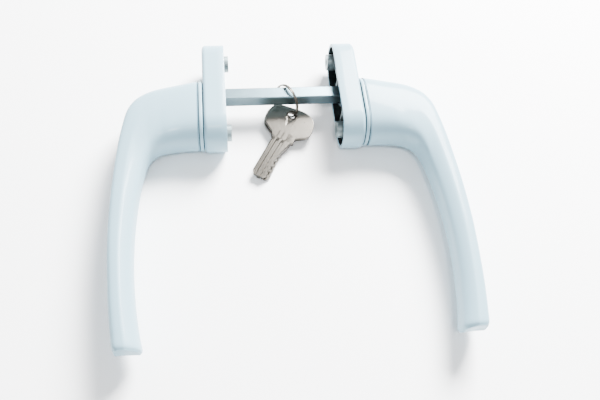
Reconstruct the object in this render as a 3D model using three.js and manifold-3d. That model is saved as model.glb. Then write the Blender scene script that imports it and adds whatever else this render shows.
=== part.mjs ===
// A pair of lockable window handles on one square spindle, with two keys on a split ring.
// Millimetres, +Z up. The set lies on its side: the spindle runs along X, 13 mm above the
// ground, the levers point along -Y, and both rosettes stand on their long edges.
// Each handle is drawn once, to the right, with X counted outward from the middle of the set,
// and the left one is its mirror image. The left lever carries the key cylinder.
import * as THREE from "three";
import { mergeVertices } from "three/addons/utils/BufferGeometryUtils.js";
import Module from "manifold-3d";

const wasm = await Module();
wasm.setup();

// ---- driving dimensions ----
const CLEARANCE = 0.3; // air between two pieces that are fitted face to face
const SIDES = 36; // facets round a large cylinder

const SASH_GAP = 61; // from one rosette's back to the other's
const ROSETTE_WIDTH = 26;
const ROSETTE_LENGTH = 66.4;
const ROSETTE_DEPTH = 12;
const ROSETTE_WALL = 1.6;
const ROSETTE_EDGE = 2; // rounding of the front edge
const COLLAR_DEPTH = 1.9;
const HUB_TOP = 8; // the oval foot of the lever, from the spindle's axis
const HUB_BOTTOM = -32.2;

const SPINDLE_SIZE = 7;
const SPINDLE_GRIP = 10.5; // length of spindle inside each lever
const SQUARE_FIT = 0.3; // how much wider a square hole is than the spindle

const SLEEVE_RADIUS = 7.9; // the lever's round bearing
const SLEEVE_FIT = 0.15;
const BUSH_WALL = 1.15;
const BUSH_FLANGE = 0.5;
const FLANGE_DEPTH = 0.5;

const LUG_RADIUS = 4.5;
const LUG_BORE = 2.1;
const LUG_REACH = 2.4; // how far the lugs stand out of the rosette's back
const LUG_SPACING = 47.4;
const BASE_DEPTH = 2.9;
const RIB = 1.6;
const RIB_DEPTH = 4.6;

const CAM_ACROSS = 14.6; // across the flats of the click cam
const CAM_CORNER = 8.9; // radius its corners are rounded to
const CAM_DEPTH = 2;
const SPRING_THICK = 0.5;
const SPRING_LENGTH = 18;
const WASHER_RADIUS = 6.5;
const WASHER_DEPTH = 0.9;

const GRUB_RADIUS = 2.4;
const GRUB_LENGTH = 6;
const GRUB_SOCKET = 1.3;
const GRUB_FROM_HUB = 5.5;

const LOCK_DROP = 20; // key cylinder's axis below the spindle's axis
const HOUSING_RADIUS = 8.2;
const HOUSING_LENGTH = 23;
const HOUSING_START = 58;
const HOUSING_END_WALL = 1.5;
const PLUG_RADIUS = 6.2;
const PLUG_FIT = 0.2;
const TAIL_RADIUS = 1.9;
const TAIL_LENGTH = 11;
const KEYWAY_HEIGHT = 8.8;
const KEYWAY_WIDTH = 2.6;
const WAFERS = 4;
const WAFER_PITCH = 4;
const WAFER_THICK = 0.9;
const WAFER_WIDTH = 6.2;
const BOLT_SIZE = 6.9;
const BOLT_LENGTH = 9.8;
const BOLT_START = 46;
const PIN_RADIUS = 0.9;
const PIN_LENGTH = 4.2;

const KEY_THICK = 1.9;
const KEY_BLADE_WIDTH = 8.4;
const KEY_BLADE_LENGTH = 26.5;
const KEY_HOLE_RADIUS = 2.5;
const KEY_HOLE_BACK = 16.6; // from the key's shoulder to its hole
const KEY_HOLE_SIDE = -0.8;

const RING_RADIUS = 9.2; // of the wire's middle
const RING_WIRE = 0.42; // radius of the wire
const RING_PITCH = 0.9; // from one turn of the split ring to the next
const RING_TURN = 30; // degrees the ring's plane is turned from the YZ plane
const RING_LEAN = 12; // degrees its top leans towards the right
const RING_X = 3.5; // its middle, from the middle of the spindle
const RING_Y = -0.8;
const RING_Z = -3.41;

// ---- places that follow from the sizes, X outward from the middle ----
const backX = SASH_GAP / 2;
const frontX = backX + ROSETTE_DEPTH;
const collarX = frontX + CLEARANCE;
const hubX = collarX + COLLAR_DEPTH + CLEARANCE;
const baseX = frontX - ROSETTE_WALL - CLEARANCE - BASE_DEPTH;
const flangeX = baseX - 0.2 - FLANGE_DEPTH;
const sleeveX = flangeX - CLEARANCE;
const camX = sleeveX - CLEARANCE - CAM_DEPTH;
const washerX = camX - CLEARANCE - WASHER_DEPTH;
const spindleEnd = hubX + SPINDLE_GRIP;
const lockY = -LOCK_DROP;
const squareHole = SPINDLE_SIZE + SQUARE_FIT;
const plugX = HOUSING_START + HOUSING_END_WALL + CLEARANCE;
const housingEnd = HOUSING_START + HOUSING_LENGTH;
const axisHeight = ROSETTE_WIDTH / 2;

// ---- the lever's outline: outer point, inner point, half width, edge radius, inner taper ----
// Each row is one cross-section. X is counted from the foot of the lever, Y from the spindle.
const LEVER_SECTIONS = [
  { outer: [0, HUB_TOP], inner: [0, HUB_BOTTOM], half: 13, edge: 13, taper: 0 },
  { outer: [4, 7.2], inner: [4.5, -32.2], half: 12.9, edge: 12.8, taper: 0 },
  { outer: [9, 6], inner: [10, -32.4], half: 12.6, edge: 12.3, taper: 0 },
  { outer: [14, 4.8], inner: [15.5, -33], half: 12.2, edge: 11.5, taper: 0 },
  { outer: [19, 3.5], inner: [19.5, -33.9], half: 11.8, edge: 10.5, taper: 0.05 },
  { outer: [24, 1.8], inner: [22.8, -35.6], half: 11.5, edge: 9.5, taper: 0.1 },
  { outer: [28.5, -0.6], inner: [25, -38], half: 11.2, edge: 8.5, taper: 0.15 },
  { outer: [32.5, -3.9], inner: [26.6, -41.2], half: 11, edge: 7.5, taper: 0.2 },
  { outer: [35.3, -7.8], inner: [27.7, -44.8], half: 10.8, edge: 6.8, taper: 0.25 },
  { outer: [37.2, -12], inner: [28.4, -48.6], half: 10.6, edge: 6.2, taper: 0.3 },
  { outer: [38.6, -18], inner: [29, -52], half: 10.4, edge: 5.7, taper: 0.33 },
  { outer: [39.8, -25], inner: [29.6, -56], half: 10.2, edge: 5.2, taper: 0.35 },
  { outer: [40.9, -33], inner: [30.2, -60.5], half: 10, edge: 4.8, taper: 0.35 },
  { outer: [41.8, -42], inner: [30.8, -66], half: 9.8, edge: 4.5, taper: 0.35 },
  { outer: [42.6, -52], inner: [31.3, -72], half: 9.7, edge: 4.3, taper: 0.35 },
  { outer: [43.3, -62], inner: [31.7, -79], half: 9.6, edge: 4.2, taper: 0.35 },
  { outer: [43.7, -73], inner: [31.9, -86], half: 9.5, edge: 4.1, taper: 0.35 },
  { outer: [43.8, -84], inner: [31.9, -94], half: 9.5, edge: 4, taper: 0.35 },
  { outer: [43.5, -95], inner: [31.6, -102], half: 9.5, edge: 4, taper: 0.35 },
  { outer: [42.9, -106], inner: [31, -110], half: 9.5, edge: 4, taper: 0.35 },
  { outer: [42.1, -117], inner: [30.1, -118.5], half: 9.5, edge: 4, taper: 0.35 },
  { outer: [41, -127], inner: [28.9, -127], half: 9.5, edge: 4, taper: 0.35 },
  { outer: [40.2, -133], inner: [27.8, -133], half: 9.5, edge: 4, taper: 0.35 },
  { outer: [39.5, -138], inner: [26.9, -138.4], half: 9.4, edge: 3.8, taper: 0.35, undercut: 2.2 },
  { outer: [38.2, -139.8], inner: [27.9, -140.2], half: 8.4, edge: 3, taper: 0.35, undercut: 2.6 },
];

// ---- the key's head: points of a smooth closed curve, X across, Y back from the shoulder ----
const BOW_CURVE = [
  [6.6, 0.8], [7.4, -2.1], [8.5, -3.6], [11.1, -5.2], [13.3, -6.9], [13.9, -9.4],
  [13.4, -13.5], [12.2, -17], [9.6, -19.6], [6.5, -20.7], [3.3, -21.1], [-0.5, -20.9],
  [-4, -20.5], [-7.8, -20], [-10.6, -19.1], [-12.8, -17.4], [-13.6, -15], [-13.6, -10.9],
  [-12.6, -7.1], [-11, -5], [-8.4, -3.2], [-6, -1.6], [-4.2, 0.5],
];

// ---- solids ----
function toSolid(geometry) {
  const plain = geometry.clone();
  plain.deleteAttribute("normal");
  plain.deleteAttribute("uv");
  const merged = mergeVertices(plain, 1e-4);
  const vertProperties = new Float32Array(merged.attributes.position.array);
  const triVerts = new Uint32Array(merged.index.array);
  return new wasm.Manifold(new wasm.Mesh({ numProp: 3, vertProperties, triVerts }));
}

function toGeometry(solid) {
  const mesh = solid.getMesh();
  const geometry = new THREE.BufferGeometry();
  geometry.setAttribute("position", new THREE.BufferAttribute(mesh.vertProperties, 3));
  geometry.setIndex(new THREE.BufferAttribute(mesh.triVerts, 1));
  geometry.computeVertexNormals();
  return geometry;
}

// A box between two corners.
function block(low, high) {
  const size = high.map((value, axis) => value - low[axis]);
  const geometry = new THREE.BoxGeometry(...size);
  geometry.translate(...high.map((value, axis) => (value + low[axis]) / 2));
  return toSolid(geometry);
}

// A round bar along X, from one X to another, about the line at y, z.
function rod(radius, fromX, toX, y = 0, z = 0, sides = SIDES) {
  const geometry = new THREE.CylinderGeometry(radius, radius, toX - fromX, sides);
  geometry.rotateZ(-Math.PI / 2);
  geometry.translate((fromX + toX) / 2, y, z);
  return toSolid(geometry);
}

// A round bar along Z.
function post(radius, fromZ, toZ, x, y, sides = 20) {
  const geometry = new THREE.CylinderGeometry(radius, radius, toZ - fromZ, sides);
  geometry.rotateX(Math.PI / 2);
  geometry.translate(x, y, (fromZ + toZ) / 2);
  return toSolid(geometry);
}

// A flat shape, drawn as Y across and Z up, drawn out along X.
function alongX(shape, fromX, toX, edge = 0) {
  const geometry = new THREE.ExtrudeGeometry(shape, {
    depth: toX - fromX - 2 * edge,
    curveSegments: 14,
    bevelEnabled: edge > 0,
    bevelThickness: edge,
    bevelSize: edge,
    bevelOffset: -edge,
    bevelSegments: edge > 1 ? 3 : 1,
  });
  geometry.translate(0, 0, fromX + edge);
  const turn = new THREE.Matrix4().makeBasis(
    new THREE.Vector3(0, 1, 0),
    new THREE.Vector3(0, 0, 1),
    new THREE.Vector3(1, 0, 0),
  );
  geometry.applyMatrix4(turn);
  return toSolid(geometry);
}

// A long oval with round ends, lying along Y between bottom and top.
function oval(width, bottom, top) {
  const radius = width / 2;
  const shape = new THREE.Shape();
  shape.moveTo(bottom + radius, -radius);
  shape.lineTo(top - radius, -radius);
  shape.absarc(top - radius, 0, radius, -Math.PI / 2, Math.PI / 2, false);
  shape.lineTo(bottom + radius, radius);
  shape.absarc(bottom + radius, 0, radius, Math.PI / 2, (3 * Math.PI) / 2, false);
  return shape;
}

function squareBar(size, fromX, toX, y = 0) {
  return block([fromX, y - size / 2, -size / 2], [toX, y + size / 2, size / 2]);
}

// ---- the lever ----
// One point of a cross-section: a rounded rectangle whose inner third narrows.
function sectionPoint(section, angle) {
  const outer = new THREE.Vector2(...section.outer);
  const inner = new THREE.Vector2(...section.inner);
  const reach = outer.distanceTo(inner) / 2;
  const edge = Math.min(section.edge, reach);
  const straight = (value) => THREE.MathUtils.clamp(2.2 * value, -1, 1);
  const across = (reach - edge) * straight(Math.cos(angle)) + edge * Math.cos(angle);
  const side = section.half - edge;
  const raw = side * straight(Math.sin(angle)) + edge * Math.sin(angle);
  const inward = THREE.MathUtils.clamp((-across / reach - 0.25) / 0.75, 0, 1);
  const height = raw * (1 - section.taper * inward);
  const share = (across / reach + 1) / 2;
  const place = inner.lerp(outer, share);
  const below = Math.max(0, -height / section.half);
  return new THREE.Vector3(hubX + place.x, place.y + (section.undercut ?? 0) * below, height);
}

// The lever's body, lofted through the sections by moving the points of a capped cylinder.
function leverBody() {
  const steps = LEVER_SECTIONS.length - 1;
  const geometry = new THREE.CylinderGeometry(1, 1, 1, 40, steps);
  const position = geometry.attributes.position;
  for (let i = 0; i < position.count; i += 1) {
    const station = Math.round((0.5 - position.getY(i)) * steps);
    const section = LEVER_SECTIONS[station];
    const radius = Math.hypot(position.getX(i), position.getZ(i));
    const angle = Math.atan2(-position.getX(i), position.getZ(i));
    const rim = sectionPoint(section, angle);
    const front = sectionPoint(section, 0);
    const back = sectionPoint(section, Math.PI);
    const middle = front.add(back).multiplyScalar(0.5);
    const point = radius > 0.5 ? rim : middle;
    position.setXYZ(i, point.x, point.y, point.z);
  }
  return toSolid(geometry);
}

function lever(locked) {
  let solid = leverBody().add(rod(SLEEVE_RADIUS, sleeveX, hubX + 4));
  solid = solid.subtract(squareBar(squareHole, sleeveX - 1, spindleEnd + 1));
  const grubX = hubX + GRUB_FROM_HUB;
  solid = solid.subtract(post(GRUB_RADIUS + 0.15, -axisHeight - 1, 0, grubX, 0));
  if (!locked) return solid;
  const boreRadius = HOUSING_RADIUS + 0.2;
  solid = solid.subtract(rod(boreRadius, HOUSING_START - 1.2, hubX + 60, lockY));
  solid = solid.subtract(squareBar(BOLT_SIZE + 0.4, hubX - 1, HOUSING_START - 1, lockY));
  const pinX = HOUSING_START + HOUSING_LENGTH / 2;
  return solid.subtract(post(PIN_RADIUS + 0.15, -axisHeight - 1, -HOUSING_RADIUS, pinX, lockY));
}

// ---- the rest of one handle ----
function collarRing(locked) {
  const shape = oval(ROSETTE_WIDTH, HUB_BOTTOM, HUB_TOP);
  let solid = alongX(shape, collarX, collarX + COLLAR_DEPTH, 0.3);
  solid = solid.subtract(rod(SLEEVE_RADIUS + 0.3, collarX - 1, hubX + 1));
  if (!locked) return solid;
  return solid.subtract(squareBar(BOLT_SIZE + 0.6, collarX - 1, hubX + 1, lockY));
}

function rosetteCover(locked) {
  const half = ROSETTE_LENGTH / 2;
  const outer = oval(ROSETTE_WIDTH, -half, half);
  const innerWidth = ROSETTE_WIDTH - 2 * ROSETTE_WALL;
  const inner = oval(innerWidth, -half + ROSETTE_WALL, half - ROSETTE_WALL);
  let solid = alongX(outer, backX - 6, frontX, ROSETTE_EDGE);
  const behind = block([backX - 8, -half - 1, -axisHeight - 1], [backX, half + 1, axisHeight + 1]);
  solid = solid.subtract(behind);
  solid = solid.subtract(alongX(inner, backX - 1, frontX - ROSETTE_WALL));
  solid = solid.subtract(rod(SLEEVE_RADIUS + 0.4, backX, frontX + 1));
  if (!locked) return solid;
  return solid.subtract(squareBar(BOLT_SIZE + 0.6, backX, frontX + 1, lockY));
}

function rosetteBase(locked) {
  const inset = ROSETTE_WALL + CLEARANCE;
  const half = ROSETTE_LENGTH / 2 - inset;
  const plate = oval(ROSETTE_WIDTH - 2 * inset, -half, half);
  let solid = alongX(plate, baseX, baseX + BASE_DEPTH);
  solid = solid.subtract(rod(SLEEVE_RADIUS + SLEEVE_FIT + BUSH_WALL + 0.15, baseX - 1, frontX));
  const backing = CAM_CORNER + SPRING_THICK + 1.4;
  const ribX = baseX - RIB_DEPTH;
  for (const end of [-1, 1]) {
    const lugY = (end * LUG_SPACING) / 2;
    const ribEnd = lugY - end * (LUG_RADIUS - 1);
    const ribs = [
      [[ribX, Math.min(end * backing, ribEnd), -RIB / 2], [baseX + 0.5, Math.max(end * backing, ribEnd), RIB / 2]],
      [[ribX, end * backing - RIB / 2, -9.6], [baseX + 0.5, end * backing + RIB / 2, 9.6]],
    ];
    for (const [low, high] of ribs) solid = solid.add(block(low, high));
    for (const side of [-1, 1]) {
      const near = end * (CAM_ACROSS / 2 + SPRING_THICK + 0.6);
      const postY = [near, end * (backing + 0.2)].sort((a, b) => a - b);
      const postZ = [side * 7.4, side * 9.4].sort((a, b) => a - b);
      solid = solid.add(block([camX - 0.4, postY[0], postZ[0]], [baseX + 0.5, postY[1], postZ[1]]));
    }
    solid = solid.add(rod(LUG_RADIUS, backX - LUG_REACH, baseX + 0.5, lugY, 0, 28));
    solid = solid.subtract(rod(LUG_BORE, backX - LUG_REACH - 1, baseX + 1.6, lugY, 0, 20));
  }
  if (!locked) return solid;
  return solid.subtract(squareBar(BOLT_SIZE + 0.6, baseX + 0.8, frontX, lockY));
}

function bush() {
  const inner = SLEEVE_RADIUS + SLEEVE_FIT;
  const outer = inner + BUSH_WALL;
  let solid = rod(outer, flangeX, baseX + BASE_DEPTH, 0, 0);
  solid = solid.add(rod(outer + BUSH_FLANGE, flangeX, flangeX + FLANGE_DEPTH));
  return solid.subtract(rod(inner, flangeX - 1, frontX));
}

function clickCam() {
  let solid = squareBar(CAM_ACROSS, camX, camX + CAM_DEPTH);
  solid = solid.intersect(rod(CAM_CORNER, camX - 1, camX + CAM_DEPTH + 1));
  return solid.subtract(squareBar(squareHole, camX - 1, camX + CAM_DEPTH + 1));
}

function leafSpring(end) {
  const near = CAM_ACROSS / 2 + 0.2;
  const y = [end * near, end * (near + SPRING_THICK)].sort((a, b) => a - b);
  const half = SPRING_LENGTH / 2;
  return block([camX + 0.1, y[0], -half], [camX + CAM_DEPTH - 0.1, y[1], half]);
}

function retainingWasher() {
  const solid = rod(WASHER_RADIUS, washerX, washerX + WASHER_DEPTH, 0, 0, 30);
  return solid.subtract(squareBar(squareHole, washerX - 1, camX));
}

function grubScrew() {
  const x = hubX + GRUB_FROM_HUB;
  const top = -SPINDLE_SIZE / 2 - CLEARANCE;
  const solid = post(GRUB_RADIUS, top - GRUB_LENGTH, top, x, 0);
  return solid.subtract(post(GRUB_SOCKET, top - GRUB_LENGTH - 1, top - GRUB_LENGTH + 2.5, x, 0, 6));
}

// ---- the key cylinder in the left lever ----
function waferX(index) {
  return plugX + 4 + index * WAFER_PITCH;
}

// How far the plug's edge is above its axis at a wafer's corners.
function waferReach() {
  return Math.sqrt(PLUG_RADIUS ** 2 - (WAFER_WIDTH / 2) ** 2);
}

function lockHousing() {
  let solid = rod(HOUSING_RADIUS, HOUSING_START, housingEnd, lockY);
  solid = solid.subtract(rod(PLUG_RADIUS + PLUG_FIT, plugX - CLEARANCE, housingEnd + 1, lockY));
  solid = solid.subtract(rod(TAIL_RADIUS + 0.2, HOUSING_START - 1, plugX, lockY, 0, 24));
  const pinX = HOUSING_START + HOUSING_LENGTH / 2;
  const pinTop = -PLUG_RADIUS - PLUG_FIT - 0.3;
  return solid.subtract(post(PIN_RADIUS + 0.15, -HOUSING_RADIUS - 1, pinTop, pinX, lockY));
}

function lockPlug() {
  const end = housingEnd - 0.4;
  let solid = rod(PLUG_RADIUS, plugX, end, lockY);
  solid = solid.add(rod(TAIL_RADIUS, plugX - TAIL_LENGTH, plugX + 1, lockY, 0, 24));
  const keyway = [KEYWAY_HEIGHT / 2, KEYWAY_WIDTH / 2];
  solid = solid.subtract(
    block([plugX + 2, lockY - keyway[0], -keyway[1]], [end + 1, lockY + keyway[0], keyway[1]]),
  );
  const slot = [WAFER_THICK / 2 + 0.2, PLUG_RADIUS + 1, WAFER_WIDTH / 2 + 0.2];
  for (let i = 0; i < WAFERS; i += 1) {
    const x = waferX(i);
    solid = solid.subtract(
      block([x - slot[0], lockY - slot[1], -slot[2]], [x + slot[0], lockY + slot[1], slot[2]]),
    );
  }
  return solid;
}

function wafer(index) {
  const x = waferX(index);
  const thick = WAFER_THICK / 2;
  const width = WAFER_WIDTH / 2;
  const top = lockY + waferReach() - 0.17;
  const foot = lockY - waferReach() + 1.37;
  const plate = block([x - thick, foot, -width], [x + thick, top, width]);
  const step = 0.35 * (index % 2);
  return plate.subtract(
    block([x - 1, foot + 1 + step, -1.6], [x + 1, top - 1.2 - step, 1.6]),
  );
}

// A small bowed strip that lifts its wafer.
function waferSpring(index) {
  const x = waferX(index);
  const radius = 4.2;
  const spread = THREE.MathUtils.degToRad(30);
  const crown = lockY - waferReach() + 1.07 - radius;
  const shape = new THREE.Shape();
  shape.absarc(crown, 0, radius, -spread, spread, false);
  shape.absarc(crown, 0, radius - 0.15, spread, -spread, true);
  return alongX(shape, x - 0.35, x + 0.35);
}

function plugClip() {
  const from = HOUSING_START - 1;
  let solid = rod(4.2, from, from + 0.6, lockY, 0, 28);
  solid = solid.subtract(rod(TAIL_RADIUS + 0.15, from - 1, from + 1, lockY, 0, 24));
  return solid.subtract(block([from - 1, lockY, -1.2], [from + 1, lockY + 6, 1.2]));
}

function lockBolt() {
  const solid = squareBar(BOLT_SIZE, BOLT_START, BOLT_START + BOLT_LENGTH, lockY);
  return solid.subtract(
    rod(TAIL_RADIUS + 0.25, BOLT_START + 1.5, BOLT_START + BOLT_LENGTH + 1, lockY, 0, 24),
  );
}

function housingPin() {
  const x = HOUSING_START + HOUSING_LENGTH / 2;
  const top = -PLUG_RADIUS - PLUG_FIT - 0.5;
  return post(PIN_RADIUS, top - PIN_LENGTH, top, x, lockY, 16);
}

// ---- spindle, ring and keys ----
function spindle() {
  return squareBar(SPINDLE_SIZE, -spindleEnd, spindleEnd);
}

// A helix of nearly two turns, wound about the ring's own axis, here X.
class SplitRingCurve extends THREE.Curve {
  getPoint(t, target = new THREE.Vector3()) {
    const angle = t * Math.PI * 3.9;
    const drift = (t - 0.5) * RING_PITCH * 1.95;
    return target.set(drift, RING_RADIUS * Math.cos(angle), RING_RADIUS * Math.sin(angle));
  }
}

function ringPlace() {
  const turn = new THREE.Matrix4().makeRotationZ(THREE.MathUtils.degToRad(RING_TURN));
  const tip = new THREE.Matrix4().makeRotationY(THREE.MathUtils.degToRad(RING_LEAN));
  return new THREE.Matrix4().makeTranslation(RING_X, RING_Y, RING_Z).multiply(turn).multiply(tip);
}

function splitRing() {
  const wire = new THREE.Shape();
  wire.absarc(0, 0, RING_WIRE, 0, 2 * Math.PI, false);
  const geometry = new THREE.ExtrudeGeometry(wire, {
    steps: 66,
    curveSegments: 4,
    extrudePath: new SplitRingCurve(),
  });
  geometry.applyMatrix4(ringPlace());
  return toSolid(geometry);
}

// A key lying flat with its shoulder at the origin, its blade along -Y and its top at z = 0.
function flatKey() {
  const shape = new THREE.Shape();
  const half = KEY_BLADE_WIDTH / 2;
  const tip = -KEY_BLADE_LENGTH;
  shape.moveTo(-half, 4);
  shape.lineTo(-half, tip + 2);
  shape.lineTo(-half + 1.2, tip + 0.6);
  shape.lineTo(-1.2, tip + 0.4);
  shape.lineTo(-0.4, tip + 1.2);
  shape.lineTo(0.6, tip + 0.2);
  shape.lineTo(2.2, tip);
  shape.lineTo(half, tip + 1.8);
  for (let cut = 0; cut < 4; cut += 1) {
    const start = tip + 3 + cut * 3.6;
    const deep = 0.4 + 0.3 * (cut % 2);
    shape.lineTo(half, start);
    shape.lineTo(half - deep, start + 1);
    shape.lineTo(half - deep, start + 1.9);
    shape.lineTo(half, start + 2.9);
  }
  shape.lineTo(half + 0.5, -8.2);
  shape.lineTo(half + 1.8, -4.2);
  shape.lineTo(half + 2.4, -0.5);
  shape.lineTo(half + 2.4, 3);
  const bow = new THREE.CatmullRomCurve3(
    BOW_CURVE.map(([x, y]) => new THREE.Vector3(x, -y, 0)), true, "centripetal",
  );
  const head = new THREE.Shape(bow.getPoints(48).map((p) => new THREE.Vector2(p.x, p.y)));
  const flat = { depth: KEY_THICK, bevelEnabled: false };
  const hole = new THREE.CylinderGeometry(KEY_HOLE_RADIUS, KEY_HOLE_RADIUS, 3 * KEY_THICK, 24);
  hole.rotateX(Math.PI / 2);
  hole.translate(KEY_HOLE_SIDE, KEY_HOLE_BACK, 0);
  let solid = toSolid(new THREE.ExtrudeGeometry(shape, flat));
  solid = solid.add(toSolid(new THREE.ExtrudeGeometry(head, flat)));
  const groove = block([-1.9, tip - 1, KEY_THICK - 0.55], [-0.7, -1.5, KEY_THICK + 1]);
  const lower = block([1, tip - 1, -1], [2, -1.5, 0.5]);
  return solid.subtract(toSolid(hole)).subtract(groove).subtract(lower);
}

// Puts a key's hole round the ring's wire, at an angle below the ring's middle. The wire touches
// the hole off its centre, so the hole is moved by a little slack along X and Y.
function keyPlace(below, heading, slope, slack) {
  const down = THREE.MathUtils.degToRad(below);
  const onRing = new THREE.Vector3(
    0, -RING_RADIUS * Math.cos(down), -RING_RADIUS * Math.sin(down),
  ).applyMatrix4(ringPlace());
  const turn = new THREE.Matrix4().makeRotationZ(THREE.MathUtils.degToRad(-heading));
  const tilt = new THREE.Matrix4().makeRotationX(THREE.MathUtils.degToRad(slope));
  const toHole = new THREE.Matrix4().makeTranslation(-KEY_HOLE_SIDE, -KEY_HOLE_BACK, -KEY_THICK / 2);
  const place = new THREE.Matrix4().makeTranslation(
    onRing.x + slack[0], onRing.y + slack[1], onRing.z,
  );
  return place.multiply(turn).multiply(tilt).multiply(toHole);
}

function placedKey(below, heading, slope, slack) {
  const geometry = toGeometry(flatKey());
  geometry.applyMatrix4(keyPlace(below, heading, slope, slack));
  return toSolid(geometry);
}

// ---- materials ----
const white = { color: 0xdfe8ee, roughness: 0.38, metalness: 0 };
const zincPlate = { color: 0xb4bcbd, roughness: 0.35, metalness: 1 };
const dieCast = { color: 0x7b8584, roughness: 0.6, metalness: 0.9 };
const springSteel = { color: 0x8d9194, roughness: 0.35, metalness: 1 };
const nickel = { color: 0xb5b0a6, roughness: 0.28, metalness: 1 };
const brass = { color: 0xb08d4b, roughness: 0.35, metalness: 1 };
const nylon = { color: 0xd9d7cc, roughness: 0.6, metalness: 0 };
const blackSteel = { color: 0x2c2d2e, roughness: 0.5, metalness: 0.9 };

// ---- the scene ----
const assembly = new THREE.Group();

function addPiece(name, solid, finish, mirrored = false) {
  const mesh = new THREE.Mesh(toGeometry(solid), new THREE.MeshStandardMaterial(finish));
  mesh.name = name;
  if (mirrored) mesh.scale.x = -1;
  assembly.add(mesh);
}

function addHandle(side) {
  const mirrored = side === "left";
  const pieces = [
    ["lever", lever(mirrored), white],
    ["collar_ring", collarRing(mirrored), white],
    ["rosette_cover", rosetteCover(mirrored), white],
    ["rosette_base", rosetteBase(mirrored), dieCast],
    ["bearing_bush", bush(), nylon],
    ["click_cam", clickCam(), springSteel],
    ["click_spring_upper", leafSpring(1), springSteel],
    ["click_spring_lower", leafSpring(-1), springSteel],
    ["retaining_washer", retainingWasher(), zincPlate],
    ["grub_screw", grubScrew(), blackSteel],
  ];
  for (const [name, solid, finish] of pieces) addPiece(`${side}_${name}`, solid, finish, mirrored);
}

function addLock() {
  addPiece("lock_housing", lockHousing(), nickel, true);
  addPiece("lock_plug", lockPlug(), brass, true);
  addPiece("lock_plug_clip", plugClip(), springSteel, true);
  addPiece("lock_bolt", lockBolt(), zincPlate, true);
  addPiece("lock_housing_pin", housingPin(), blackSteel, true);
  for (let i = 0; i < WAFERS; i += 1) {
    addPiece(`lock_wafer_${i + 1}`, wafer(i), brass, true);
    addPiece(`lock_wafer_spring_${i + 1}`, waferSpring(i), springSteel, true);
  }
}

addHandle("left");
addHandle("right");
addLock();
addPiece("square_spindle", spindle(), zincPlate);
addPiece("split_ring", splitRing(), nickel);
addPiece("key_front", placedKey(26, 31, 3.2, [-0.7, 0.5]), nickel);
addPiece("key_rear", placedKey(50, 27, 2.2, [0, 0]), nickel);

// The frame's origin is on the ground, under the middle of the whole set.
const tipY = Math.min(...LEVER_SECTIONS.map((section) => section.inner[1]));
assembly.position.set(0, -(tipY + ROSETTE_LENGTH / 2) / 2, axisHeight);

const group = new THREE.Group();
group.name = "keyed_window_lock";
group.add(assembly);

export default group;
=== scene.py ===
"""Finished look of a pair of lockable window handles on one square spindle.

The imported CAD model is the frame. The pieces that show are rebuilt here as fine surfaces, in
millimetres from the spindle's axis, and every other piece keeps its CAD shape and gets a finish.
A handle is worked out once with X counted outward from the middle, and mirrored for the left.
"""

import bpy
import numpy as np
from bpy.props import FloatProperty, FloatVectorProperty, PointerProperty
from mathutils import Matrix, Vector


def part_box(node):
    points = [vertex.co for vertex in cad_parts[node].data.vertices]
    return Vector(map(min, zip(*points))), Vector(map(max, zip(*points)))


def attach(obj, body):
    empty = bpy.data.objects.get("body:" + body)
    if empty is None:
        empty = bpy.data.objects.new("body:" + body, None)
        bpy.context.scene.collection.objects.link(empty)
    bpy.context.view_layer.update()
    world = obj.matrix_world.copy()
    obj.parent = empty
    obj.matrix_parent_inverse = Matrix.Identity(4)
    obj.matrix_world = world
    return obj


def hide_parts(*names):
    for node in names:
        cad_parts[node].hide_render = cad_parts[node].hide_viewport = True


bl_info = {
    "name": "Keyed window lock",
    "version": (1, 0, 0),
    "blender": (4, 5, 0),
    "location": "3D Viewport > Sidebar > Window Lock",
    "description": "Builds the finished look of a lockable window handle pair",
    "category": "Add Mesh",
}

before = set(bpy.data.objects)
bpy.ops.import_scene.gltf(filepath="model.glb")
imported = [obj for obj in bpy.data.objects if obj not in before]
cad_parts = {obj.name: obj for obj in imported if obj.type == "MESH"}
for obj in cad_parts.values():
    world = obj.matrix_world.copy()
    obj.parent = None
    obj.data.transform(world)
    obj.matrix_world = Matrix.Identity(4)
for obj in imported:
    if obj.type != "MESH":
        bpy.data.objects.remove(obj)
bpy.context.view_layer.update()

MM = 0.001
SIDES = {"left": -1.0, "right": 1.0}


def box_mm(node):
    """A CAD node's lowest and highest corner, in millimetres from the spindle's middle."""
    low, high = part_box(node)
    return (np.array(low) - MIDDLE) / MM, (np.array(high) - MIDDLE) / MM


MIDDLE = np.array([sum(pair) / 2 for pair in zip(*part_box("square_spindle"))])
SPINDLE_END = box_mm("square_spindle")[1][0]
SPINDLE_HALF = box_mm("square_spindle")[1][1]
COVER = box_mm("right_rosette_cover")
COLLAR = box_mm("right_collar_ring")
LEVER = box_mm("right_lever")
HOUSING = box_mm("lock_housing")
GRUB = box_mm("right_grub_screw")
PIN = box_mm("lock_housing_pin")

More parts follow.
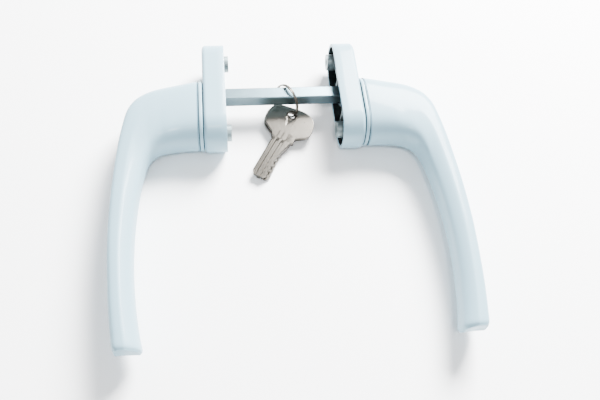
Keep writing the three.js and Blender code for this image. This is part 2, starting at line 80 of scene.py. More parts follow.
# Each row is one cross-section of the lever: outer x and y, inner x and y, half width,
# edge radius and how much the inner third narrows. X is counted from the foot of the lever.
LEVER_SECTIONS = np.array([
    [0, 8, 0, -32.2, 13, 13, 0],
    [4, 7.2, 4.5, -32.2, 12.9, 12.8, 0],
    [9, 6, 10, -32.4, 12.6, 12.3, 0],
    [14, 4.8, 15.5, -33, 12.2, 11.5, 0],
    [19, 3.5, 19.5, -33.9, 11.8, 10.5, 0.05],
    [24, 1.8, 22.8, -35.6, 11.5, 9.5, 0.1],
    [28.5, -0.6, 25, -38, 11.2, 8.5, 0.15],
    [32.5, -3.9, 26.6, -41.2, 11, 7.5, 0.2],
    [35.3, -7.8, 27.7, -44.8, 10.8, 6.8, 0.25],
    [37.2, -12, 28.4, -48.6, 10.6, 6.2, 0.3],
    [38.6, -18, 29, -52, 10.4, 5.7, 0.33],
    [39.8, -25, 29.6, -56, 10.2, 5.2, 0.35],
    [40.9, -33, 30.2, -60.5, 10, 4.8, 0.35],
    [41.8, -42, 30.8, -66, 9.8, 4.5, 0.35],
    [42.6, -52, 31.3, -72, 9.7, 4.3, 0.35],
    [43.3, -62, 31.7, -79, 9.6, 4.2, 0.35],
    [43.7, -73, 31.9, -86, 9.5, 4.1, 0.35],
    [43.8, -84, 31.9, -94, 9.5, 4, 0.35],
    [43.5, -95, 31.6, -102, 9.5, 4, 0.35],
    [42.9, -106, 31, -110, 9.5, 4, 0.35],
    [42.1, -117, 30.1, -118.5, 9.5, 4, 0.35],
    [41, -127, 28.9, -127, 9.5, 4, 0.35],
    [40.2, -133, 27.8, -133, 9.5, 4, 0.35],
    [39.5, -137.6, 26.9, -138, 9.4, 3.8, 0.35],
    [38.6, -139.6, 27.7, -139.9, 8.6, 3.2, 0.35],
])

BOLT_CORNER = 3.75 * 2**0.5
TIP_UNDERCUT = 2.6
TIP_SLANT_FROM = -133.0

# The key's head, across and back from the shoulder, in millimetres.
BOW = np.array([
    [6.6, -0.8], [7.4, 2.1], [8.5, 3.6], [11.1, 5.2], [13.3, 6.9], [13.9, 9.4],
    [13.4, 13.5], [12.2, 17], [9.6, 19.6], [6.5, 20.7], [3.3, 21.1], [-0.5, 20.9],
    [-4, 20.5], [-7.8, 20], [-10.6, 19.1], [-12.8, 17.4], [-13.6, 15], [-13.6, 10.9],
    [-12.6, 7.1], [-11, 5], [-8.4, 3.2], [-6, 1.6], [-4.2, -0.5],
])
KEY_HOLE = np.array([-0.8, 16.6])
KEY_BORE = 2.5
KEY_THICK = 1.9
KEY_HALF = 4.2
KEY_TIP = -26.5

# The split ring: its middle, radius, pitch, turn round Z and lean, in millimetres and degrees.
RING_MIDDLE = np.array([3.5, -0.8, -3.41])
RING_RADIUS = 9.2
RING_PITCH = 0.9
RING_TURN = 30
RING_LEAN = 12


# ---- settings ----
def length(name, value, description):
    return FloatProperty(
        name=name, default=value * MM, unit="LENGTH", subtype="DISTANCE", precision=5,
        description=description,
    )


def colour(name, code, description):
    rgb = [int(code[i:i + 2], 16) / 255 for i in (1, 3, 5)]
    return FloatVectorProperty(
        name=name, default=rgb, size=3, min=0, max=1, subtype="COLOR_GAMMA",
        description=description,
    )


class HandleSizes(bpy.types.PropertyGroup):
    """Edges and walls of the rebuilt pieces."""

    foot_edge: length("Foot edge", 0.65, "Rounding where the lever meets its collar")
    cover_edge: length("Cover edge", 2.0, "Rounding of the rosette's front edge")
    cover_wall: length("Cover wall", 1.6, "Thickness of the rosette cover")
    cover_bore: length("Cover bore", 8.3, "Radius of the hole for the lever's sleeve")
    spindle_edge: length("Spindle edge", 0.45, "Rounding of the drawn spindle's edges")
    key_edge: length("Key edge", 0.22, "Rounding of the keys' edges")
    ring_wire: length("Ring wire", 0.42, "Radius of the split ring's wire")


class FinishColours(bpy.types.PropertyGroup):
    """Colours of the finishes, as sRGB."""

    powder: colour("Powder coat", "#88a9b7", "White powder coat, slightly blue")
    zinc: colour("Zinc plate", "#6c8189", "Blue-passivated zinc plate")
    casting: colour("Die casting", "#93a3a6", "Bare zinc die casting, as cast")
    # painted shade: this dark colour goes on the joint faces and the rosette's hollow to stand in
    # for the shade that falls there
    shade: colour("Mating faces", "#2a3133", "Masked casting between fitted pieces")
    nickel: colour("Nickel", "#6a665f", "Worn nickel plate")
    spring: colour("Spring steel", "#8f9598", "Blank spring steel")
    brass: colour("Brass", "#b5924f", "Machined brass")
    nylon: colour("Nylon", "#dddad0", "Natural nylon")
    black: colour("Blackened steel", "#2b2c2e", "Oil-blackened steel")
    floor: colour("Floor", "#ffffff", "Pale studio floor")


class StageSizes(bpy.types.PropertyGroup):
    """Camera place and lens."""

    distance: length("Camera distance", 322.2, "From the camera to its aim")
    azimuth: FloatProperty(name="Azimuth", default=-13.38, description="Camera's turn, degrees")
    elevation: FloatProperty(name="Elevation", default=60.16, description="Camera's height, degrees")
    roll: FloatProperty(name="Roll", default=9.11, description="Camera's roll, degrees")
    lens: FloatProperty(name="Lens", default=38.33, description="Focal length for a 36 mm film")


# ---- mesh building ----
def smooth_rows(table, count):
    """Rows of a table joined by Catmull-Rom curves, sampled at count even steps: each sample is
    half of (2 b + (c - a) t + (2a - 5b + 4c - d) t^2 + (3b - a - 3c + d) t^3)."""
    padded = np.vstack([2 * table[0] - table[1], table, 2 * table[-1] - table[-2]])
    at = np.linspace(0, len(table) - 1, count)
    cell = np.minimum(at.astype(int), len(table) - 2)
    t = (at - cell)[:, None]
    a, b, c, d = (padded[cell + i] for i in range(4))
    return 0.5 * (
        2 * b + (c - a) * t + (2 * a - 5 * b + 4 * c - d) * t**2
        + (3 * b - a - 3 * c + d) * t**3
    )


def closed_curve(points, count):
    """A closed Catmull-Rom curve through the points, with the same formula."""
    around = np.vstack([points[-1], points, points[0], points[1]])
    at = np.linspace(0, len(points), count, endpoint=False)
    cell = at.astype(int)
    t = (at - cell)[:, None]
    a, b, c, d = (around[cell + i] for i in range(4))
    return 0.5 * (
        2 * b + (c - a) * t + (2 * a - 5 * b + 4 * c - d) * t**2
        + (3 * b - a - 3 * c + d) * t**3
    )


def grid_faces(rows, columns, close_rows=False):
    """Quads between neighbouring rows and columns; columns always close on themselves."""
    row = np.arange(rows if close_rows else rows - 1)
    column = np.arange(columns)
    i, j = np.meshgrid(row, column, indexing="ij")
    up, right = (i + 1) % rows, (j + 1) % columns
    quads = [i * columns + j, i * columns + right, up * columns + right, up * columns + j]
    return np.stack(quads, -1).reshape(-1, 4)


def skin(rings, close_rows=False):
    """A closed surface over rings of points, shape (rows, columns, 3). An open pile of rings
    gets a fan of triangles at each end, round the end ring's mean point."""
    rows, columns = rings.shape[:2]
    points = rings.reshape(-1, 3)
    faces = grid_faces(rows, columns, close_rows).tolist()
    if not close_rows:
        column = np.arange(columns)
        right = (column + 1) % columns
        last = (rows - 1) * columns
        first_pole, last_pole = len(points), len(points) + 1
        faces += np.stack([right, column, np.full(columns, first_pole)], 1).tolist()
        faces += np.stack([last + column, last + right, np.full(columns, last_pole)], 1).tolist()
        points = np.vstack([points, rings[0].mean(0), rings[-1].mean(0)])
    return points, faces


def outward(points, faces):
    """The faces, turned round if the volume they enclose comes out negative."""
    fans = [(f[0], f[i], f[i + 1]) for f in faces for i in range(1, len(f) - 1)]
    a, b, c = (points[np.array(fans)[:, k]] for k in range(3))
    volume = np.einsum("ij,ij->i", a, np.cross(b, c)).sum()
    return faces if volume > 0 else [f[::-1] for f in faces]


def add_piece(name, shells, material, body, replaces, side=1.0, sharp=35):
    """One object from closed shells in millimetres from the spindle's middle."""
    points, faces, start = [], [], 0
    for shell_points, shell_faces in shells:
        placed = shell_points * [side, 1, 1]
        shell = outward(placed, shell_faces)
        faces += [[start + index for index in face] for face in shell]
        points.append(placed)
        start += len(placed)
    mesh = bpy.data.meshes.new(name)
    world = np.vstack(points) * MM + MIDDLE
    mesh.from_pydata(world.tolist(), [], faces)
    mesh.shade_smooth()
    mesh.set_sharp_from_angle(angle=np.radians(sharp))
    mesh.materials.append(material)
    piece = bpy.data.objects.new(name, mesh)
    bpy.context.scene.collection.objects.link(piece)
    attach(piece, body)
    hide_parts(*replaces)
    return piece


def drill(piece, holes, side):
    """Cuts holes: each is (corners, axis, radius, from, to, first, second), where first and
    second are the hole's place on the two other axes, in order. Four corners cut a square hole
    and 72 a round one."""
    for corners, axis, radius, start, stop, first, second in holes:
        turn = (np.arange(corners) + 0.5) / corners * 2 * np.pi
        ring = np.stack([first + radius * np.cos(turn), second + radius * np.sin(turn)], 1)
        rings = np.stack([np.insert(ring, axis, value, axis=1) for value in (start, stop)])
        points, faces = skin(rings)
        points = points * [side, 1, 1]
        mesh = bpy.data.meshes.new("hole")
        mesh.from_pydata((points * MM + MIDDLE).tolist(), [], outward(points, faces))
        cutter = bpy.data.objects.new("hole", mesh)
        bpy.context.scene.collection.objects.link(cutter)
        cut = piece.modifiers.new("hole", "BOOLEAN")
        cut.object = cutter
        cut.solver = "EXACT"
        bpy.context.view_layer.update()
        graph = bpy.context.evaluated_depsgraph_get()
        made = bpy.data.meshes.new_from_object(piece.evaluated_get(graph))
        piece.modifiers.clear()
        piece.data = made
        bpy.data.objects.remove(cutter)
    piece.data.set_sharp_from_angle(angle=np.radians(35))


def bolt_hole(start, stop):
    """The square hole that the lock's bolt slides through, along X."""
    return 4, 0, BOLT_CORNER, start, stop, (HOUSING[0][1] + HOUSING[1][1]) / 2, 0


def paint_joint_and_hollow_shade(piece, side):
    """Paints shade on the faces between lever, collar and rosette and on the hollow inside of the
    rosette: they get a dark second material, a painted shade that makes the joints and the hollow
    read dark."""
    piece.data.materials.append(finish("shade"))
    half = (COLLAR[1][2] - COLLAR[0][2]) / 2
    for face in piece.data.polygons:
        x, y, z = (np.array(face.center) - MIDDLE) / MM * [side, 1, 1]
        nearest = np.clip(y, COLLAR[0][1] + half, COLLAR[1][1] - half)
        inside = half - np.hypot(y - nearest, z)
        at_joint = COVER[1][0] - 0.1 < x < LEVER_FOOT + 0.1
        mating = at_joint and inside > 0.25 and abs(face.normal.x) > 0.9
        centre = np.clip(y, COVER[0][1] + half, COVER[1][1] - half)
        depth = half - np.hypot(y - centre, z)
        hollow = COVER[0][0] + 0.1 < x < COVER[1][0] - 0.5 and depth > 1.2
        # painted shade: joint faces and the rosette's hollow take the dark material
        if mating or hollow:
            face.material_index = 1


# ---- shapes ----
def lever_rings():
    """The lever's body. Round each section, across = (reach - edge) s(cos) + edge cos and
    height = (half - edge) s(sin) + edge sin, where s(v) = 2.2 v / (1 + (2.2 v)^4)^(1/4); the
    height shrinks by the taper over the inner half. The foot's rim is rounded, the tip closes
    over a low crown, and below the middle the tip is cut back at a slant."""
    rows = smooth_rows(LEVER_SECTIONS, 300)
    turn = np.linspace(0, 2 * np.pi, 144, endpoint=False)
    cos, sin = np.cos(turn), np.sin(turn)
    outer, inner = rows[:, 0:2], rows[:, 2:4]
    half, edge, taper = rows[:, 4, None], rows[:, 5, None], rows[:, 6, None]
    reach = np.linalg.norm(outer - inner, axis=1)[:, None] / 2
    edge = np.minimum(edge, reach)
    across = (reach - edge) * soft_limit(cos) + edge * cos
    height = (half - edge) * soft_limit(sin) + edge * sin
    inward = np.clip(0.05 - across / reach, 0, 1) ** 1.3
    height = height * (1 - taper * inward)
    share = (across / reach + 1) / 2
    place = inner[:, None] + share[..., None] * (outer - inner)[:, None]
    rings = np.concatenate([place, height[..., None]], -1)
    rings[..., 0] += LEVER_FOOT
    slant = TIP_UNDERCUT * np.clip((TIP_SLANT_FROM - rows[:, 1]) / 5, 0, 1)
    rings[..., 1] += slant[:, None] * np.clip(-height / half, 0, 1)
    foot = shrink(rings[0], edge_steps(bpy.context.scene.lock_sizes.foot_edge / MM)[::-1])
    foot[..., 0] = LEVER_FOOT + foot_rise(bpy.context.scene.lock_sizes.foot_edge / MM)[:, None]
    rings = rings[rings[:, 0, 0] > LEVER_FOOT + 0.4]
    end = rings[-1]
    tip = shrink(end, np.array([0.35, 0.9, 1.8, 3.2, 4.6]))
    tip[..., 1] -= (np.array([0.12, 0.2, 0.25, 0.28, 0.3]))[:, None]
    return np.concatenate([foot, rings, tip])


def soft_limit(value):
    """2.2 times a value, bent smoothly so that it stays within one."""
    return 2.2 * value / (1 + (2.2 * value) ** 4) ** 0.25


def edge_steps(radius):
    """How far in from the rim each ring of a quarter-round edge is: radius (1 - sin a)."""
    return radius * (1 - np.sin(np.linspace(0, np.pi / 2, 6)))


def foot_rise(radius):
    """How high each of those rings is above the face: radius (1 - cos a)."""
    return radius * (1 - np.cos(np.linspace(0, np.pi / 2, 6)))


def shrink(ring, amounts):
    """Copies of a flat ring drawn in towards its middle by each amount, in millimetres."""
    middle = ring.mean(0)
    spokes = ring - middle
    size = np.linalg.norm(spokes, axis=1)[:, None]
    return np.stack([middle + spokes * (1 - amount / size) for amount in amounts])


def oval_ring(width, bottom, top, inset, count=160):
    """A long oval in Y and Z: two half circles of radius width/2 - inset about the ends'
    centres, evenly spaced by angle."""
    turn = (np.arange(count) + 0.5) / count * 2 * np.pi
    radius = width / 2 - inset
    centre = np.where(np.cos(turn) >= 0, top - width / 2, bottom + width / 2)
    return np.stack([centre + radius * np.cos(turn), radius * np.sin(turn)], 1)


def hole_ring(radius, count=160):
    """A circle about the spindle's axis, matched point for point to an oval ring's angles."""
    turn = (np.arange(count) + 0.5) / count * 2 * np.pi
    return np.stack([radius * np.cos(turn), radius * np.sin(turn)], 1)


def at_x(ring, x):
    """A flat ring of Y and Z stood up at one X."""
    return np.column_stack([np.full(len(ring), x), ring])


def between(first, second, steps):
    """Rings evenly between two rings, both ends left out."""
    share = np.linspace(0, 1, steps + 2)[1:-1, None, None]
    return list(first[None] * (1 - share) + second[None] * share)


def cover_rings(sizes):
    """The rosette cover, one closed loop of rings: back rim, outer side, quarter-round front
    edge, front face to the bore, bore, inner face and inner side."""
    width = COVER[1][2] - COVER[0][2]
    bottom, top = COVER[0][1], COVER[1][1]
    back, front = COVER[0][0], COVER[1][0]
    edge, wall = sizes.cover_edge / MM, sizes.cover_wall / MM
    bore = hole_ring(sizes.cover_bore / MM)

    def oval(inset, x):
        return at_x(oval_ring(width, bottom, top, inset), x)

    rings = [oval(wall - 0.2, back), oval(0.25, back), oval(0.07, back + 0.08)]
    rings += [oval(0, back + 0.25)] + [oval(0, back + 4), oval(0, front - edge - 0.5)]
    for angle in np.linspace(0, np.pi / 2, 11):
        rings.append(oval(edge * (1 - np.cos(angle)), front - edge * (1 - np.sin(angle))))
    rings += between(rings[-1], at_x(bore, front), 5)
    rings += [at_x(bore, front - 0.15), at_x(bore, front - wall)]
    inner_front = oval(wall + 0.6, front - wall)
    rings += between(rings[-1], inner_front, 4) + [inner_front, oval(wall, front - wall - 0.6)]
    rings += [oval(wall, back + 4), oval(wall, back + 0.2)]
    return np.stack(rings)


def collar_rings():
    """The flat collar: an oval plate with rounded rims and a round bore."""
    width = COLLAR[1][2] - COLLAR[0][2]
    bottom, top = COLLAR[0][1], COLLAR[1][1]
    low, high = COLLAR[0][0], COLLAR[1][0]
    bore = hole_ring(8.2)
    rings = []
    for face, sign in ((low, 1), (high, -1)):
        rim = [
            at_x(oval_ring(width, bottom, top, inset), face + sign * rise)
            for inset, rise in zip(edge_steps(0.55), foot_rise(0.55))
        ]
        rim = [at_x(bore, face)] + between(at_x(bore, face), rim[0], 2) + rim
        rings += rim if sign > 0 else rim[::-1]
    return np.stack(rings)


def spindle_rings(sizes):
    """A square bar along X with rounded edges and chamfered ends. Round the section, each
    coordinate is (half - edge) held within one of 9 times its cosine, plus edge times it."""
    turn = np.linspace(0, 2 * np.pi, 96, endpoint=False) + np.pi / 96
    edge = sizes.spindle_edge / MM
    ends = np.array([0, 0.5, 1, 8, 30])
    inset = np.array([0.5, 0.05, 0, 0, 0])
    x = np.concatenate([ends - SPINDLE_END, SPINDLE_END - ends[::-1]])
    small = np.concatenate([inset, inset[::-1]])[:, None]
    half = SPINDLE_HALF - small
    y = (half - edge) * np.clip(9 * np.cos(turn), -1, 1) + edge * np.cos(turn)
    z = (half - edge) * np.clip(9 * np.sin(turn), -1, 1) + edge * np.sin(turn)
    return np.stack([np.broadcast_to(x[:, None], y.shape), y, z], -1)


def turned(points):
    """Points in the ring's own plane, X along its axis, put in place round the spindle."""
    turn = Matrix.Rotation(np.radians(RING_TURN), 3, "Z")
    lean = Matrix.Rotation(np.radians(RING_LEAN), 3, "Y")
    return points @ np.array(turn @ lean).T + RING_MIDDLE


def ring_rings(sizes):
    """A wire of nearly two turns. Its middle runs along (drift, R cos, R sin), and the wire is
    a circle of the wire's radius in the spoke and axis directions."""
    t = np.linspace(0, 1, 420)
    angle = t * np.pi * 3.9
    drift = (t - 0.5) * RING_PITCH * 1.95
    spoke = np.stack([np.zeros_like(t), np.cos(angle), np.sin(angle)], 1)
    middle = spoke * RING_RADIUS + np.array([1, 0, 0]) * drift[:, None]
    turn = np.linspace(0, 2 * np.pi, 18, endpoint=False)
    wire = sizes.ring_wire / MM
    ends = wire * np.sqrt(np.clip(1 - (1 - np.minimum(t, 1 - t) * 120) ** 2, 0.05, 1))
    ends = np.where(np.minimum(t, 1 - t) * 120 > 1, wire, ends)
    ring = spoke[:, None] * np.cos(turn)[None, :, None]
    ring = ring + np.array([1.0, 0, 0]) * np.sin(turn)[None, :, None]
    return turned(middle[:, None] + ring * ends[:, None, None])


def key_matrix(below, heading, slope, slack):
    """Where a key lies: its hole round the wire at an angle below the ring's middle and off the
    wire by the slack, its blade turned from -Y by the heading and lowered by the slope."""
    down = np.radians(below)
    wire = np.array([[0, -RING_RADIUS * np.cos(down), -RING_RADIUS * np.sin(down)]])
    place = Matrix.Translation(turned(wire)[0] + np.array([*slack, 0]))
    turn = Matrix.Rotation(np.radians(-heading), 4, "Z")
    tilt = Matrix.Rotation(np.radians(slope), 4, "X")
    back = Matrix.Translation((-KEY_HOLE[0], -KEY_HOLE[1], -KEY_THICK / 2))
    return np.array(place @ turn @ tilt @ back)


def bow_rings(sizes):
    """The key's head, a closed loop of rings round its hole: on each face the rings run from the
    hole to the outline, and the face sinks 0.3 mm in a stamped wedge below the hole."""
    outline = closed_curve(BOW, 240) - KEY_HOLE
    turn = np.unwrap(np.arctan2(outline[:, 1], outline[:, 0]))
    edge = sizes.key_edge / MM
    reach = np.linalg.norm(outline, axis=1)
    order = np.argsort(turn % (2 * np.pi))
    turn = np.linspace(0, 2 * np.pi, 240, endpoint=False)
    angles = np.concatenate([np.arctan2(outline[order, 1], outline[order, 0]) % (2 * np.pi)])
    reach = np.interp(turn, angles, reach[order], period=2 * np.pi)
    spoke = np.stack([np.cos(turn), np.sin(turn)], 1)
    share = np.linspace(0, 1, 34)[:, None]
    radius = (KEY_BORE + edge) * (1 - share) + (reach - edge)[None] * share
    face = spoke[None] * radius[..., None]
    wedge_width = 3.4 + 0.42 * face[..., 1]
    depth = 0.3 * np.clip((wedge_width - np.abs(face[..., 0])) / 0.5, 0, 1)
    depth = depth * np.clip((face[..., 1] + 8.2) / 0.5, 0, 1) * np.clip(-face[..., 1] / 0.6, 0, 1)
    top = np.concatenate([face, (KEY_THICK - depth)[..., None]], -1)
    bottom = np.concatenate([face, depth[..., None]], -1)[::-1]
    outer = [
        np.column_stack([spoke * (reach - edge * (1 - np.sin(a)))[:, None],
                         np.full(240, KEY_THICK / 2 + (KEY_THICK / 2 - edge) * np.sign(np.cos(a))
                                 + edge * np.cos(a))])
        for a in np.linspace(0.25, np.pi - 0.25, 8)
    ]
    inner = [
        np.column_stack([spoke * (KEY_BORE + edge * (1 - np.sin(a))),
                         np.full(240, KEY_THICK / 2 - (KEY_THICK / 2 - edge) * np.sign(np.cos(a))
                                 - edge * np.cos(a))])
        for a in np.linspace(0.25, np.pi - 0.25, 8)
    ]
    rings = np.concatenate([top, np.stack(outer), bottom, np.stack(inner)])
    rings[..., :2] += KEY_HOLE
    return rings


def blade_rings(sizes):
    """The key's blade: a flat section with three grooves above and one below, carried from the
    head to the tip. The right edge flares into the head and has shallow cuts; towards the tip
    the blade narrows, and its end is drawn in at the middle and the corners."""
    y = np.concatenate([np.linspace(4, KEY_TIP + 2.2, 190), np.linspace(KEY_TIP + 2.1, KEY_TIP, 16)])
    wave = (y - KEY_TIP - 3) % 3.6
    cut = 0.6 * np.clip(1.35 - np.abs(wave - 1.45), 0, 0.8) / 0.8
    cut = np.where((y > KEY_TIP + 17.4) | (y < KEY_TIP + 3), 0, cut)
    flare = np.interp(y, [-14, -8.2, -4.2, -0.5], [0, 0.5, 1.8, 2.4])
    nose = np.clip((KEY_TIP + 2.2 - y) / 2.2, 0, 1) ** 1.5
    right = KEY_HALF + flare - cut - 1.6 * nose
    left = -KEY_HALF + 1.4 * nose
    profile = np.array([
        [0, 0.3], [0.04, 0.0], [0.56, 0.0], [0.6, 0.55], [0.74, 0.55], [0.78, 0.0],
        [0.97, 0.0], [1, 0.3], [1, 1.6], [0.97, 1.9], [0.8, 1.9], [0.77, 1.5], [0.66, 1.5],
        [0.62, 1.9], [0.5, 1.9], [0.46, 1.2], [0.34, 1.2], [0.3, 1.9], [0.2, 1.9],
        [0.16, 1.55], [0.08, 1.55], [0.04, 1.9], [0.02, 1.8], [0, 1.6],
    ])
    steps = np.linspace(0, 1, 4, endpoint=False)[None, :, None]
    following = np.roll(profile, -1, axis=0)
    profile = (profile[:, None] * (1 - steps) + following[:, None] * steps).reshape(-1, 2)
    fade = np.clip((-y - 1) / 1.5, 0, 1)[:, None]
    share = profile[None, :, 0]
    x = np.where(
        flare[:, None] > 0,
        left[:, None] + 2 * KEY_HALF * share + (right - KEY_HALF)[:, None] * share**6,
        left[:, None] + (right - left)[:, None] * share,
    )
    height = profile[None, :, 1]
    flat = np.where(height > KEY_THICK / 2, np.maximum(height, KEY_THICK - 0.05), 0.0)
    flat = np.where((share <= 0) | (share >= 1), height, flat)
    z = height * fade + flat * (1 - fade)
    notch = 0.9 * nose[:, None] * np.clip(1 - np.abs(share - 0.45) / 0.12, 0, 1)
    return np.stack([x, y[:, None] + notch, z], -1)


LEVER_FOOT = COLLAR[1][0] + 0.3


# ---- finishes ----
def linear(srgb):
    """sRGB to linear light: c / 12.92 below 0.04045, else ((c + 0.055) / 1.055) to the 2.4."""
    c = np.array(srgb[:])
    light = np.where(c <= 0.04045, c / 12.92, ((c + 0.055) / 1.055) ** 2.4)
    return (*light.tolist(), 1.0)


def add_node(tree, kind, settings=None, links=None):
    """Adds one node, sets its attributes and input values, and links inputs to other sockets."""
    node = tree.nodes.new(kind)
    for key, value in (settings or {}).items():
        if isinstance(key, str) and hasattr(node, key):
            setattr(node, key, value)
        else:
            node.inputs[key].default_value = value
    for key, socket in (links or {}).items():
        tree.links.new(socket, node.inputs[key])
    return node


def start_material(name):
    material = bpy.data.materials.new(name)
    material.use_nodes = True
    tree = material.node_tree
    tree.nodes.clear()
    shader = add_node(tree, "ShaderNodeBsdfPrincipled")
    output = add_node(tree, "ShaderNodeOutputMaterial")
    tree.links.new(shader.outputs[0], output.inputs[0])
    place = add_node(tree, "ShaderNodeTexCoord").outputs["Object"]
    return material, tree, shader, place


def powder_coat(colours):
    """Polyester powder coat on zinc: the melt leaves a fine orange peel about 1.2 mm across and
    a few microns high, so highlights are soft and slightly broken."""
    material, tree, shader, place = start_material("white_polyester_powder_coat")
    shader.inputs["IOR"].default_value = 1.5
    shader.inputs["Specular IOR Level"].default_value = 0.2
    shader.inputs["Coat Weight"].default_value = 0.2
    shader.inputs["Coat Roughness"].default_value = 0.12
    peel = add_node(tree, "ShaderNodeTexNoise", {"Scale": 830, "Detail": 2}, {"Vector": place})
    drift = add_node(tree, "ShaderNodeTexNoise", {"Scale": 24, "Detail": 3}, {"Vector": place})
    base = linear(colours.powder)
    dull = tuple(value * 0.955 for value in base[:3]) + (1.0,)
    tint = add_node(
        tree, "ShaderNodeMix", {"data_type": "RGBA", 6: dull, 7: base}, {0: drift.outputs[0]}
    )
    rough = add_node(
        tree, "ShaderNodeMapRange", {"To Min": 0.42, "To Max": 0.55}, {"Value": drift.outputs[0]}
    )
    bump = add_node(
        tree, "ShaderNodeBump", {"Strength": 0.35, "Distance": 0.00004},
        {"Height": peel.outputs[0]},
    )
    tree.links.new(tint.outputs[2], shader.inputs["Base Color"])
    tree.links.new(rough.outputs[0], shader.inputs["Roughness"])
    tree.links.new(bump.outputs[0], shader.inputs["Normal"])
    return material


def metal(name, base, roughness, streak, grain, bump_height, wear=0.12):
    """A bare or plated metal. Drawing or rolling leaves streaks along one axis, given as the
    noise's stretch, and the grain is one over its spacing in metres."""
    material, tree, shader, place = start_material(name)
    shader.inputs["Metallic"].default_value = 1.0
    stretched = add_node(
        tree, "ShaderNodeMapping", {"vector_type": "POINT", "Scale": streak}, {"Vector": place}
    )
    lines = add_node(
        tree, "ShaderNodeTexNoise", {"Scale": grain, "Detail": 4, "Roughness": 0.6},
        {"Vector": stretched.outputs[0]},
    )
    cloud = add_node(tree, "ShaderNodeTexNoise", {"Scale": 160, "Detail": 3}, {"Vector": place})
    dark = tuple(value * (1 - 2.2 * wear) for value in base[:3]) + (1.0,)
    tint = add_node(
        tree, "ShaderNodeMix", {"data_type": "RGBA", 6: dark, 7: base}, {0: cloud.outputs[0]}
    )
    rough = add_node(
        tree, "ShaderNodeMapRange",
        {"To Min": roughness * 0.7, "To Max": roughness * 1.35}, {"Value": lines.outputs[0]},
    )
    bump = add_node(
        tree, "ShaderNodeBump", {"Strength": 0.5, "Distance": bump_height},
        {"Height": lines.outputs[0]},
    )
    tree.links.new(tint.outputs[2], shader.inputs["Base Color"])
    tree.links.new(rough.outputs[0], shader.inputs["Roughness"])
    tree.links.new(bump.outputs[0], shader.inputs["Normal"])
    return material


def zinc_plate(colours):
    """Cold-drawn bar under blue-passivated zinc: fine streaks along the bar, 0.25 mm apart."""
    base = linear(colours.zinc)
    return metal("zinc_plated_drawn_steel", base, 0.33, (0.06, 1, 1), 4000, 0.00002)


def die_casting(colours):
    """Bare zinc die casting: dull, with a sandy skin of about 0.6 mm."""
    base = linear(colours.casting)
    return metal("bare_zinc_die_casting", base, 0.5, (1, 1, 1), 1700, 0.00006, wear=0.2)


def painted_joint_shade_metal(colours):
    """Painted shade: a dark, dull metal for the faces between fitted pieces and inside the rosette,
    so the joint lines and the hollow read dark.
    """
    base = linear(colours.shade)
    # the painted shade material
    return metal("painted_shade_dark_zinc", base, 0.6, (1, 1, 1), 1500, 0.00004, wear=0.2)


def nickel_plate(colours):
    """Nickel on rolled brass, worn in a pocket: satin, with fine scratches."""
    base = linear(colours.nickel)
    return metal("worn_nickel_plate", base, 0.3, (1, 0.12, 1), 2600, 0.00002, wear=0.1)


def spring_steel(colours):
    """Blank spring steel: smooth rolled strip and wire."""
    return metal("blank_spring_steel", linear(colours.spring), 0.28, (1, 1, 0.2), 2500, 0.00001)


def machined_brass(colours):
    """Free-cutting brass, turned: fine rings read as an even grain."""
    return metal("machined_brass", linear(colours.brass), 0.3, (0.3, 1, 1), 3000, 0.00002)


def black_steel(colours):
    """Oil-blackened steel of set screws: dark with a faint sheen."""
    return metal("blackened_steel", linear(colours.black), 0.4, (1, 1, 1), 2500, 0.00002)


def natural_nylon(colours):
    """Moulded natural nylon: milky, satin, slightly see-through at its edges."""
    material, tree, shader, place = start_material("natural_nylon")
    shader.inputs["Subsurface Weight"].default_value = 0.15
    shader.inputs["Subsurface Scale"].default_value = 0.002
    shader.inputs["IOR"].default_value = 1.53
    cloud = add_node(tree, "ShaderNodeTexNoise", {"Scale": 300, "Detail": 2}, {"Vector": place})
    base = linear(colours.nylon)
    dull = tuple(value * 0.93 for value in base[:3]) + (1.0,)
    tint = add_node(
        tree, "ShaderNodeMix", {"data_type": "RGBA", 6: dull, 7: base}, {0: cloud.outputs[0]}
    )
    rough = add_node(
        tree, "ShaderNodeMapRange", {"To Min": 0.45, "To Max": 0.6}, {"Value": cloud.outputs[0]}
    )
    tree.links.new(tint.outputs[2], shader.inputs["Base Color"])
    tree.links.new(rough.outputs[0], shader.inputs["Roughness"])
    return material


MAKERS = {
    "powder": powder_coat,
    "zinc": zinc_plate,
    "casting": die_casting,
    # painted shade for the joints and the rosette's hollow
    "shade": painted_joint_shade_metal,
    "nickel": nickel_plate,
    "spring": spring_steel,
    "brass": machined_brass,
    "nylon": natural_nylon,
    "black": black_steel,
}
MADE = {}


def finish(name):
    """The named finish, made once."""
    if name not in MADE:
        MADE[name] = MAKERS[name](bpy.context.scene.lock_colours)
    return MADE[name]


# ---- operators ----
class LOCK_OT_levers(bpy.types.Operator):
    """Add both lever handles, with the key cylinder's pocket in the left one"""

    bl_idname = "window_lock.levers"
    bl_label = "Lever handles"

    def execute(self, context):
        for side, sign in SIDES.items():
            shell = skin(lever_rings())
            piece = add_piece(
                f"{side}_lever_handle", [shell], finish("powder"), "handles",
                [f"{side}_lever"], sign,
            )
            grub_x = (GRUB[0][0] + GRUB[1][0]) / 2
            holes = [(72, 2, 2.55, -14, -3.4, grub_x, 0)]
            if side == "left":
                lock_y = (HOUSING[0][1] + HOUSING[1][1]) / 2
                pin_x = -(PIN[0][0] + PIN[1][0]) / 2
                holes.append((72, 0, 8.4, 56.8, 105, lock_y, 0))
                holes.append((72, 2, 1.05, -14, -8.2, pin_x, lock_y))
                holes.append(bolt_hole(LEVER_FOOT - 1, 57))
            drill(piece, holes, sign)
            # paints shade on the lever's joint faces
            paint_joint_and_hollow_shade(piece, sign)
        return {"FINISHED"}


